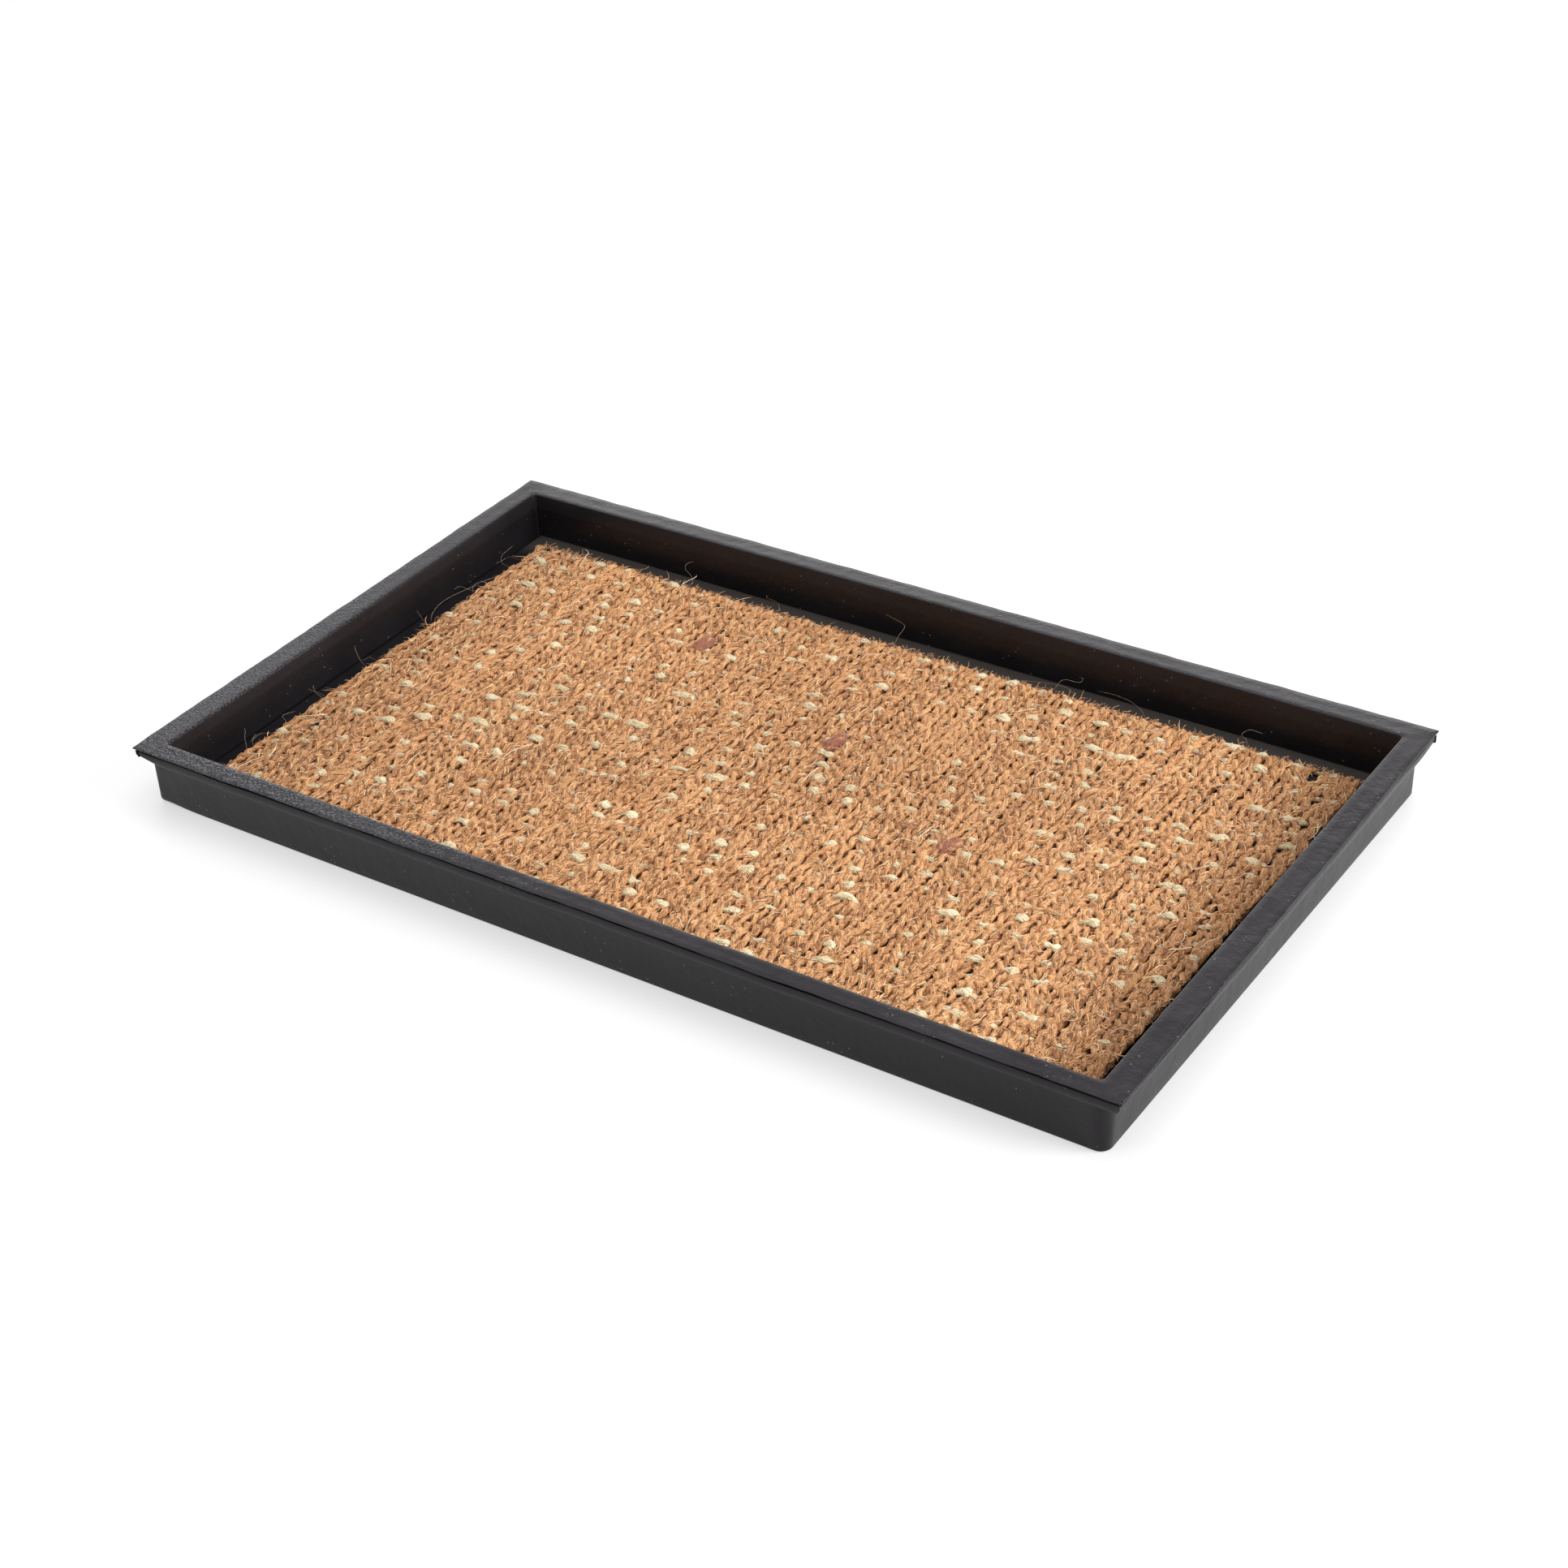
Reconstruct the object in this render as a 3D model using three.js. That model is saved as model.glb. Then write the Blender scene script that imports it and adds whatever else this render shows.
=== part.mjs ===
// Boot tray: a moulded rubber tray with a loose mat of woven coir lying in it.
//
// Millimetres, +Z up. X runs along the length, -Y is the front. The origin is on the surface the tray
// stands on, under the middle of its outline.

import * as THREE from "three";
import { mergeVertices } from "three/addons/utils/BufferGeometryUtils.js";

// ---- Driving dimensions ----

const TRAY_LENGTH = 610; // over the rim, along X
const TRAY_WIDTH = 355; // over the rim, along Y
const TRAY_HEIGHT = 36.5;
const RIM_LEFT = 13; // width of the rim's flat top on each side
const RIM_RIGHT = 14;
const RIM_FRONT = 11;
const RIM_BACK = 13.5;

const LIP_THICKNESS = 1.8; // the thin trimmed lip at the very top of the rim
const BAND_SETBACK = 1.2; // the thicker band under the lip starts this far in from its edge
const BAND_DEPTH = 5.6;
const BAND_ROUNDING = 1.8;
const WALL_TOP_THICKNESS = 7; // outer wall face from the inner opening, under the band
const WALL_BOTTOM_THICKNESS = 4.5; // the same just above the foot
const FOOT_BEVEL = 3;
const FOOT_WIDTH = 12; // flat ring that the tray stands on
const UNDERSIDE_RECESS = 4;
const FLOOR_TOP = 9.4; // height of the inner floor
const INNER_DRAFT = 1.8; // the opening narrows this much per side from rim to floor
const INNER_FILLET = 2;

const INNER_RADIUS = 4; // corner radii in plan
const RIM_RADIUS = 1.5;
const WALL_RADIUS = 9;
const CORNER_STEPS = 5;

const MAT_LENGTH = 548; // coir mat, along X
const MAT_WIDTH = 298; // along Y
const BACKING_THICKNESS = 1.2;
const BACKING_INSET = 1.5; // the backing stops short of the mat's edge
const COIR_THICKNESS = 5.4;
const WARP_COUNT = 24; // ivory yarns running along X inside the coir
const WARP_PITCH = 12.2;
const WARP_DIAMETER = 3.2;
const WARP_SIDES = 8;
const WARP_PROUD = 1; // cut ends stand this far out of the coir
const GAP = 0.3; // clearance between pieces that touch

// ---- Materials ----

const rubber = new THREE.MeshStandardMaterial({ color: 0x3a3a3d, roughness: 0.6, metalness: 0 });
const latex = new THREE.MeshStandardMaterial({ color: 0x17171a, roughness: 0.8, metalness: 0 });
const coir = new THREE.MeshStandardMaterial({ color: 0xc08a5c, roughness: 0.95, metalness: 0 });
const ivory = new THREE.MeshStandardMaterial({ color: 0xdccba2, roughness: 0.9, metalness: 0 });

// ---- Shape helpers ----

// A rectangle with rounded corners at one height, as points that run round it anticlockwise.
function roundedRing({ halfX, halfY, radius, centreX = 0, centreY = 0, z }) {
  const points = [];
  for (let corner = 0; corner < 4; corner += 1) {
    const signX = corner === 0 || corner === 3 ? 1 : -1;
    const signY = corner < 2 ? 1 : -1;
    for (let step = 0; step <= CORNER_STEPS; step += 1) {
      const angle = (corner + step / CORNER_STEPS) * (Math.PI / 2);
      const x = centreX + signX * (halfX - radius) + radius * Math.cos(angle);
      const y = centreY + signY * (halfY - radius) + radius * Math.sin(angle);
      points.push(new THREE.Vector3(x, y, z));
    }
  }
  return points;
}

// A closed skin over a run of rings, with the first and last ring filled flat.
function loftRings(rings) {
  const count = rings[0].length;
  const positions = rings.flat().flatMap((point) => point.toArray());
  const indices = [];
  for (let ring = 0; ring + 1 < rings.length; ring += 1) {
    for (let i = 0; i < count; i += 1) {
      const next = (i + 1) % count;
      const a = ring * count + i;
      const b = ring * count + next;
      indices.push(a, b + count, b, a, a + count, b + count);
    }
  }
  const fill = (ring, flip) => {
    const outline = rings[ring].map((point) => new THREE.Vector2(point.x, point.y));
    for (const [a, b, c] of THREE.ShapeUtils.triangulateShape(outline, [])) {
      const start = ring * count;
      indices.push(start + a, start + (flip ? c : b), start + (flip ? b : c));
    }
  };
  fill(0, false);
  fill(rings.length - 1, true);
  const geometry = new THREE.BufferGeometry();
  geometry.setAttribute("position", new THREE.Float32BufferAttribute(positions, 3));
  geometry.setIndex(indices);
  geometry.computeVertexNormals();
  return geometry;
}

// Extrudes a shape drawn in (Y, Z) along X, centred on X = 0.
function extrudeAlongX(shape, length) {
  const geometry = new THREE.ExtrudeGeometry(shape, { depth: length, bevelEnabled: false });
  geometry.translate(0, 0, -length / 2);
  const alongX = new THREE.Matrix4().makeBasis(
    new THREE.Vector3(0, 1, 0),
    new THREE.Vector3(0, 0, 1),
    new THREE.Vector3(1, 0, 0),
  );
  geometry.applyMatrix4(alongX);
  geometry.deleteAttribute("normal");
  geometry.deleteAttribute("uv");
  const merged = mergeVertices(geometry);
  merged.computeVertexNormals();
  return merged;
}

// The corners of a regular polygon round (y, z), all at one radius.
function polygon(y, z, radius) {
  const points = [];
  for (let side = 0; side < WARP_SIDES; side += 1) {
    const angle = ((side + 0.5) / WARP_SIDES) * Math.PI * 2;
    points.push(new THREE.Vector2(y + radius * Math.cos(angle), z + radius * Math.sin(angle)));
  }
  return points;
}

function addMesh(group, name, geometry, material) {
  const mesh = new THREE.Mesh(geometry, material);
  mesh.name = name;
  group.add(mesh);
  return mesh;
}

// ---- Tray ----

// The inner opening sits off the outline's middle, because the rim's four sides differ in width.
const OPENING_X = (RIM_LEFT - RIM_RIGHT) / 2;
const OPENING_Y = (RIM_FRONT - RIM_BACK) / 2;
const OPENING_HALF_X = (TRAY_LENGTH - RIM_LEFT - RIM_RIGHT) / 2;
const OPENING_HALF_Y = (TRAY_WIDTH - RIM_FRONT - RIM_BACK) / 2;

// A ring that follows the inner opening, grown outwards by `out`.
function openingRing(out, radius, z) {
  return roundedRing({
    halfX: OPENING_HALF_X + out,
    halfY: OPENING_HALF_Y + out,
    radius,
    centreX: OPENING_X,
    centreY: OPENING_Y,
    z,
  });
}

// A ring that follows the rim's outer edge, drawn in by `inset`.
function outlineRing(inset, radius, z) {
  return roundedRing({ halfX: TRAY_LENGTH / 2 - inset, halfY: TRAY_WIDTH / 2 - inset, radius, z });
}

function trayGeometry() {
  const bandTop = TRAY_HEIGHT - LIP_THICKNESS;
  const bandBottom = bandTop - BAND_DEPTH;
  const bandInset = BAND_SETBACK + BAND_ROUNDING;
  const footOut = WALL_BOTTOM_THICKNESS - FOOT_BEVEL;
  return loftRings([
    openingRing(-INNER_DRAFT - INNER_FILLET, INNER_RADIUS, FLOOR_TOP),
    openingRing(-INNER_DRAFT, INNER_RADIUS, FLOOR_TOP + INNER_FILLET),
    openingRing(0, INNER_RADIUS, TRAY_HEIGHT),
    outlineRing(0, RIM_RADIUS, TRAY_HEIGHT),
    outlineRing(0, RIM_RADIUS, bandTop),
    outlineRing(BAND_SETBACK, RIM_RADIUS, bandTop),
    outlineRing(BAND_SETBACK, RIM_RADIUS, bandBottom + BAND_ROUNDING),
    outlineRing(bandInset, RIM_RADIUS + BAND_ROUNDING, bandBottom),
    openingRing(WALL_TOP_THICKNESS, WALL_RADIUS, bandBottom),
    openingRing(WALL_BOTTOM_THICKNESS, WALL_RADIUS, FOOT_BEVEL),
    openingRing(footOut, WALL_RADIUS, 0),
    openingRing(footOut - FOOT_WIDTH, WALL_RADIUS, 0),
    openingRing(footOut - FOOT_WIDTH - UNDERSIDE_RECESS / 2, WALL_RADIUS, UNDERSIDE_RECESS),
  ]);
}

// ---- Mat ----

const BACKING_BOTTOM = FLOOR_TOP + GAP;
const COIR_BOTTOM = BACKING_BOTTOM + BACKING_THICKNESS + GAP;
const WARP_Z = COIR_BOTTOM + COIR_THICKNESS / 2;

// Where each ivory yarn crosses the mat's width.
function warpY(index) {
  return (index - (WARP_COUNT - 1) / 2) * WARP_PITCH;
}

function backingGeometry() {
  const geometry = new THREE.BoxGeometry(
    MAT_LENGTH - 2 * BACKING_INSET,
    MAT_WIDTH - 2 * BACKING_INSET,
    BACKING_THICKNESS,
  );
  geometry.translate(0, 0, BACKING_BOTTOM + BACKING_THICKNESS / 2);
  return geometry;
}

// The packed coir yarns as one panel, with a channel for each ivory yarn that runs through them.
function coirGeometry() {
  const shape = new THREE.Shape([
    new THREE.Vector2(-MAT_WIDTH / 2, COIR_BOTTOM),
    new THREE.Vector2(MAT_WIDTH / 2, COIR_BOTTOM),
    new THREE.Vector2(MAT_WIDTH / 2, COIR_BOTTOM + COIR_THICKNESS),
    new THREE.Vector2(-MAT_WIDTH / 2, COIR_BOTTOM + COIR_THICKNESS),
  ]);
  for (let index = 0; index < WARP_COUNT; index += 1) {
    shape.holes.push(new THREE.Path(polygon(warpY(index), WARP_Z, WARP_DIAMETER / 2 + GAP)));
  }
  return extrudeAlongX(shape, MAT_LENGTH);
}

function warpGeometry(index) {
  const shape = new THREE.Shape(polygon(warpY(index), WARP_Z, WARP_DIAMETER / 2));
  return extrudeAlongX(shape, MAT_LENGTH + 2 * WARP_PROUD);
}

// ---- Assembly ----

const bootTray = new THREE.Group();
addMesh(bootTray, "tray", trayGeometry(), rubber);

const mat = new THREE.Group();
mat.position.set(OPENING_X, OPENING_Y, 0);
addMesh(mat, "mat_backing", backingGeometry(), latex);
addMesh(mat, "coir_panel", coirGeometry(), coir);
for (let index = 0; index < WARP_COUNT; index += 1) {
  const name = `ivory_yarn_${String(index + 1).padStart(2, "0")}`;
  addMesh(mat, name, warpGeometry(index), ivory);
}
bootTray.add(mat);

export default bootTray;
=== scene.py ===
import math
from functools import reduce

import bpy
import numpy as np
from mathutils import Matrix, Vector


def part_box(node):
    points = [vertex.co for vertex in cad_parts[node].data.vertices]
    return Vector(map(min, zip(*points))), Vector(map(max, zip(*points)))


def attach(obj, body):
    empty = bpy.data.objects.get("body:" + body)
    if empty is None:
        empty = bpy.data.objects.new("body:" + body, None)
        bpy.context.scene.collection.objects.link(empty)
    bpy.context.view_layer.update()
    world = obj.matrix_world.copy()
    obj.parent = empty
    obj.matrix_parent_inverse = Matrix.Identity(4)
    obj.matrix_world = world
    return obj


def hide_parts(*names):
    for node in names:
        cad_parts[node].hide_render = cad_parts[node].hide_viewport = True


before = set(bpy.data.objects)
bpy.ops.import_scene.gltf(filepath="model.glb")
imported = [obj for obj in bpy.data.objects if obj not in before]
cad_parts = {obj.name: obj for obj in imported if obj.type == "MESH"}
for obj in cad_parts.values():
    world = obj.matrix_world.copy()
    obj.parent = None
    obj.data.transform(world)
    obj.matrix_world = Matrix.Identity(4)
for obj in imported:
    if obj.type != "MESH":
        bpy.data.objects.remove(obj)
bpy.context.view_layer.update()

# A moulded rubber boot tray with a loose mat woven from coir and ivory yarn.
# Shapes are worked out in millimetres in the frame's axes; make_piece turns them into metres.

MM = 0.001
TAU = math.tau


def box_mm(node):
    """The lowest and highest corners of a CAD node, in millimetres."""
    low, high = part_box(node)
    return np.array(low) / MM, np.array(high) / MM


TRAY_LOW, TRAY_HIGH = box_mm("tray")
COIR_LOW, COIR_HIGH = box_mm("coir_panel")
BACKING_LOW, BACKING_HIGH = box_mm("mat_backing")
MAT_CENTRE = (COIR_LOW + COIR_HIGH) / 2
HALF_X, HALF_Y, _ = (COIR_HIGH - COIR_LOW) / 2  # of the mat
IVORY_NODES = sorted(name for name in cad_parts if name.startswith("ivory_yarn_"))

# ---- Tray, in millimetres ----

RIM_LEFT, RIM_RIGHT, RIM_FRONT, RIM_BACK = 13, 14, 11, 13.5
LIP_THICKNESS = 1.0
BAND_SETBACK = 1.5
BAND_DEPTH = 5.5
BAND_ROUNDING = 1.0
UNDERCUT_DEPTH, UNDERCUT_HEIGHT = 1.8, 1.6  # the groove under the lip
WALL_TOP, WALL_BOTTOM = 7.0, 4.5  # the outer wall's distance from the opening
WALL_SHOULDER = 0.8  # the wall's plain slope starts this far under the band
INNER_DRAFT = 3.45  # the opening narrows this much on each side from the rim to the floor
INNER_EDGE_ROUNDING = 0.6
FLOOR_TOP = 9.4
LEFT_GROOVE = 1.4  # depth of the groove in the floor along the left wall
FOOT_ROUNDING = 1.2
SOFT_CORNER, SOFT_CORNER_REACH = 2.0, 14  # the foot is rounder by this at the front left corner
FOOT_WIDTH = 12
RECESS = 4
OPENING_RADIUS, LEAST_RADIUS = 3, 0.8
# Corners run: back right, back left, front left, front right.
RIM_RADII = (1.0, 1.0, 1.0, 3.0)
RIM_SKEW = ((0.3, 1.8), (-1.2, 1.8), (-1.6, -1.2), (1.6, 0.2))
WALL_RADII = (3.0, 3.0, 3.0, 6.5)
WALL_SKEW = ((2.0, 0), (0, 0), (-2.6, -1.8), (1.8, -3.0))
WALL_TOP_SKEW = 0.2  # the share of WALL_SKEW that the wall has at its top
BACK_BOW, FRONT_BOW = 1.8, 0.7  # how far the long walls bulge half way along
RIM_DROOP, RIM_SAG = 0.3, 0.12  # the fall of the rim's top to its outer edge, and its hollow half way
MERGE_SPAN = (-178, -20)  # on the right the lip and the band are one at the first y, apart at the second
TAPER_FRONT_LEFT, TAPER_BACK_RIGHT, TAPER_REACH = 0.45, 0.2, 11  # the band thins at two corners
NICK_PLACE = (-0.2, 2.0)  # a nick in the lip's edge, from the outline's front right corner
NICK_REACH, NICK_DEPTH, NICK_SETBACK = 1.1, 1.1, 1.6
SIDE_STEPS_X, SIDE_STEPS_Y, CORNER_STEPS = 150, 90, 8
SHARP_ANGLE = 40

# ---- Weave, in millimetres ----

COIR_COUNT = 113
COIR_SPREAD = 1.5  # the coir yarns take up this much more than the CAD panel's length
COIR_PITCH = (2 * HALF_X + COIR_SPREAD) / COIR_COUNT
SHIFT_RIGHT, SLANT = 2.9, 0.8  # the yarns' middle against the mat's, and its change to the back
ROW_COUNT = len(IVORY_NODES)
ROW_PITCH = 12.4
WEAVE_REPEAT = 4  # an ivory yarn passes over one coir yarn in four
ROW_SKEW = 8  # how far the middle rows climb from the mat's middle to its end
COIR_GROUPS, IVORY_GROUPS = 8, 3
BACKING_TOP = BACKING_HIGH[2]
# Sideways strays of the yarns as sine waves: size, reach along, and shift to the next yarn.
ROW_STRAYS = ((1.3, 61.0, 0.7), (0.9, 23.0, 2.1))
COIR_STRAYS = ((0.5, 17.0, 1.9), (1.3, 71.0, 0.11))

# ---- Random streams; a group's or colour's number is added to its seed ----

SEEDS = dict(
    rise=11, trim=12, fine_trim=13, setback=14, lip=15, dots=31, wound_fibres=61, crossing_fibres=70,
    stray_fibres=71, brown_fibre_shade_specks=72, fringe=73, ivory_fibres=74, red_wisps=75, edge_curls=76,
    coir=100, plies=200, coir_streaks=300, felt_streaks=350, ivory=400, ivory_streaks=500,
)


def stream(name, number=0):
    return np.random.default_rng(SEEDS[name] + number)


# ---- Small helpers ----

def waves(t, name, counts, size):
    """A smooth closed wobble along t, from 0 to 1, made of a few sine waves."""
    rng = stream(name)
    total = np.zeros_like(t, dtype=float)
    for count in counts:
        total += rng.uniform(0.5, 1) * np.sin(TAU * (count * t + rng.random()))
    return size * total / len(counts)


def smooth_step(value, start, end):
    t = np.clip((value - start) / (end - start), 0, 1)
    return t * t * (3 - 2 * t)


def drift(rng, tubes, stations, step, reach):
    """A smooth random wander along each tube, about one in size, that changes over reach."""
    knots = rng.normal(0, 1, (tubes, int(stations * step / reach) + 3))
    place = np.arange(stations)[None, :] * step / reach + rng.random((tubes, 1))
    before = place.astype(int)
    share = smooth_step(place - before, 0, 1)
    tube = np.arange(tubes)[:, None]
    return knots[tube, before] * (1 - share) + knots[tube, before + 1] * share


def bell(distance, width):
    return np.exp(-(distance / width) ** 2)


def join(arrays):
    """Arrays one after the other."""
    return np.concatenate(arrays)


def unit(vectors):
    return vectors / np.maximum(np.linalg.norm(vectors, axis=-1, keepdims=True), 1e-9)


def quarter_turn(steps):
    """Angles from 0 to a right angle."""
    return np.linspace(0, math.pi / 2, steps + 1)


def full_turn(steps):
    """Angles round a circle."""
    return TAU * np.arange(steps) / steps


def add_object(name, data):
    made = bpy.data.objects.new(name, data)
    bpy.context.scene.collection.objects.link(made)
    return made


# ---- Mesh making ----

def make_piece(name, points, faces, material, body, attributes=None, sharp_angle=None):
    """A mesh piece riding on a body. faces is a list of index arrays, one row per face."""
    mesh = bpy.data.meshes.new(name)
    mesh.vertices.add(len(points))
    mesh.vertices.foreach_set("co", (np.asarray(points, np.float32) * MM).ravel())
    loops = join([group.ravel() for group in faces])
    sizes = join([np.full(len(group), group.shape[1]) for group in faces])
    mesh.loops.add(len(loops))
    mesh.loops.foreach_set("vertex_index", loops.astype(np.int32))
    mesh.polygons.add(len(sizes))
    starts = join([[0], np.cumsum(sizes)[:-1]])
    mesh.polygons.foreach_set("loop_start", starts.astype(np.int32))
    mesh.polygons.foreach_set("use_smooth", np.ones(len(sizes), bool))
    mesh.update(calc_edges=True)
    for key, values in (attributes or {}).items():
        kind, field = ("FLOAT_VECTOR", "vector") if np.ndim(values) == 2 else ("FLOAT", "value")
        layer = mesh.attributes.new(key, kind, "POINT")
        layer.data.foreach_set(field, np.asarray(values, np.float32).ravel())
    if sharp_angle is not None:
        mesh.set_sharp_from_angle(angle=math.radians(sharp_angle))
    mesh.materials.append(material)
    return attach(add_object(name, mesh), body)


def skin(grid):
    """Quads over a grid of point indices whose last column meets the first."""
    beside = np.roll(grid, -1, axis=-1)
    corners = [grid[..., :-1, :], beside[..., :-1, :], beside[..., 1:, :], grid[..., 1:, :]]
    return np.stack(corners, -1).reshape(-1, 4)


def tube_faces(tubes, stations, sides):
    """Faces of closed tubes whose points run tube, station, side."""
    grid = np.arange(tubes * stations * sides).reshape(tubes, stations, sides)
    return [skin(grid), grid[:, 0, ::-1], grid[:, -1]]


def tube_points(centres, across, upward, radius_across, radius_up, sides, bumps=1.0):
    """Points of tubes round centre lines (tube, station, 3). bumps scales the radius at each."""
    angle = full_turn(sides)
    across, upward = (np.broadcast_to(v, centres.shape)[:, :, None, :] for v in (across, upward))
    along_across = (radius_across[..., None] * np.cos(angle) * bumps)[..., None]
    along_up = (radius_up[..., None] * np.sin(angle) * bumps)[..., None]
    return (centres[:, :, None, :] + along_across * across + along_up * upward).reshape(-1, 3)


# ---- Materials ----

class Nodes:
    """A material's or world's node tree."""

    def __init__(self, owner, main="BSDF_PRINCIPLED"):
        self.owner = owner
        owner.use_nodes = True
        self.tree = owner.node_tree
        self.main = next(n for n in self.tree.nodes if n.type == main)

    def put(self, socket, value):
        if isinstance(value, bpy.types.NodeSocket):
            self.tree.links.new(value, socket)
        else:
            socket.default_value = value

    def node(self, kind, inputs=None, **settings):
        made = self.tree.nodes.new("ShaderNode" + kind)
        for key, value in settings.items():
            setattr(made, key, value)
        for key, value in (inputs or {}).items():
            self.put(made.inputs[key], value)
        return made

    def set(self, **values):
        for key, value in values.items():
            self.put(self.main.inputs[key.replace("_", " ")], value)

    def maths(self, operation, a, b=0.0, clamp=False):
        return self.node("Math", {0: a, 1: b}, operation=operation, use_clamp=clamp).outputs[0]

    def product(self, *values):
        return reduce(lambda a, b: self.maths("MULTIPLY", a, b), values)

    def total(self, *values):
        return reduce(lambda a, b: self.maths("ADD", a, b), values)

    def ranged(self, value, span, low=0.0, high=1.0, smooth=False):
        """Goes from low to high over a span, and is level outside it."""
        inputs = {"Value": value, "From Min": span[0], "From Max": span[1], "To Min": low, "To Max": high}
        kind = "SMOOTHSTEP" if smooth else "LINEAR"
        return self.node("MapRange", inputs, interpolation_type=kind).outputs["Result"]

    def mix(self, amount, a, b, blend="MIX"):
        inputs = {"Factor": amount, 6: a, 7: b}
        return self.node("Mix", inputs, data_type="RGBA", blend_type=blend).outputs[2]

    def tinted(self, colour, tint):
        return self.mix(1.0, colour, tint, "MULTIPLY")

    def ramp(self, value, stops):
        made = self.node("ValToRGB", {"Fac": value})
        elements = made.color_ramp.elements
        while len(elements) < len(stops):
            elements.new(0.5)
        for element, (position, colour) in zip(elements, stops):
            element.position, element.color = position, colour
        return made.outputs["Color"]

    def stretched(self, vector, scale):
        return self.node("Mapping", {"Vector": vector, "Scale": scale}).outputs["Vector"]

    def noise(self, vector, scale, detail=3.0, roughness=0.5):
        inputs = {"Vector": vector, "Scale": scale, "Detail": detail, "Roughness": roughness}
        return self.node("TexNoise", inputs).outputs["Fac"]

    def cells(self, vector, scale):
        """The distance to the middle of a small random cell."""
        return self.node("TexVoronoi", {"Vector": vector, "Scale": scale}).outputs["Distance"]

    def attribute(self, name, output="Fac"):
        return self.node("Attribute", attribute_name=name).outputs[output]

    def place(self):
        return self.node("TexCoord").outputs["Object"]

    def split(self, vector):
        return self.node("SeparateXYZ", {"Vector": vector}).outputs

    def bump(self, height, strength, distance):
        inputs = {"Height": height, "Strength": strength, "Distance": distance}
        return self.node("Bump", inputs).outputs["Normal"]


def material_nodes(name):
    return Nodes(bpy.data.materials.new(name))


def grey(value):
    return (value, value, value, 1.0)


# Where the looks change over the object, in metres. A pair is a start and an end.
RIM_TOP_ABOVE = 0.0345
WALL_SHADE_Z = (0.0290, 0.0265)
PALE_TOWARD_FRONT_LEFT = (0.12, 0.42)  # against -(x + y)
DULL_LEFT_X = (-0.288, -0.294)
PAINTED_LIGHT_STRIP_Y = (0.135, 0.148)
FLOOR_X, FLOOR_BACK_Y, FLOOR_Z = 0.290, 0.1615, (0.0085, 0.0099)
MAT_END_X = (0.222, 0.257)


def rubber_colour(n, cloud, on_top, front_left_top, rare, crevice_shade):
    """Dull clouds, painted shade under the rim, dust specks, paler mottling towards the front left, a floor
    strip painted light, painted shade in crevices, scratches.
    """
    place = n.place()
    x, y, z = n.split(place)
    base = n.ramp(cloud, [(0.3, (0.0120, 0.0108, 0.0122, 1)), (0.7, (0.0178, 0.0161, 0.0181, 1))])
    base = n.mix(n.ranged(z, WALL_SHADE_Z, high=0.9), base, n.tinted(base, grey(0.55)))
    speck = n.product(n.maths("LESS_THAN", n.cells(place, 260.0), 0.13), rare)
    base = n.mix(n.product(speck, 0.32), base, (0.26, 0.25, 0.25, 1))
    # paler, bluish mottling on the rim's top, strongest towards the front left
    pale_mottle = n.ranged(n.noise(place, 850.0), (0.40, 0.66), high=0.30)
    base = n.mix(n.product(pale_mottle, front_left_top), base, (0.22, 0.22, 0.25, 1))
    on_floor = n.product(
        n.maths("LESS_THAN", n.maths("ABSOLUTE", x), FLOOR_X),
        n.maths("LESS_THAN", y, FLOOR_BACK_Y),
        n.maths("GREATER_THAN", z, FLOOR_Z[0]),
        n.maths("LESS_THAN", z, FLOOR_Z[1]),
    )
    # painted light: the floor strip along the back wall is painted paler, as if more light reached it
    painted_light_strip = n.product(on_floor, n.ranged(y, PAINTED_LIGHT_STRIP_Y, high=0.8))
    base = n.mix(painted_light_strip, base, (0.045, 0.040, 0.036, 1))
    # painted shade: the crevices, the groove under the lip, the groove along the left wall and the nick in
    # the lip go near black
    base = n.mix(crevice_shade, base, grey(0.002))
    slanting = n.node(
        "VectorRotate", {"Vector": place, "Angle": math.radians(38)}, rotation_type="Z_AXIS"
    ).outputs["Vector"]
    scratch = n.noise(n.stretched(slanting, (1.0, 9.0, 1.0)), 170.0, 2.0)
    scratch = n.product(n.maths("GREATER_THAN", scratch, 0.70), rare, on_top)
    return n.mix(n.product(scratch, 0.15), base, (0.20, 0.20, 0.21, 1))


def rubber_height(n, front_left_top, rare):
    """Fine grain, slow unevenness, and pebbles, most of them towards the front left of the rim's top."""
    place = n.place()
    pebble = n.maths("SUBTRACT", 0.5, n.cells(place, 520.0), clamp=True)
    pebble = n.product(pebble, rare, n.maths("ADD", front_left_top, 0.35))
    return n.total(
        n.product(n.noise(place, 900.0, 4.0, 0.6), 0.5),
        n.noise(place, 190.0),
        n.product(pebble, 2.2),
        n.product(n.noise(place, 42.0, 2.0), 2.6),
    )


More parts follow.
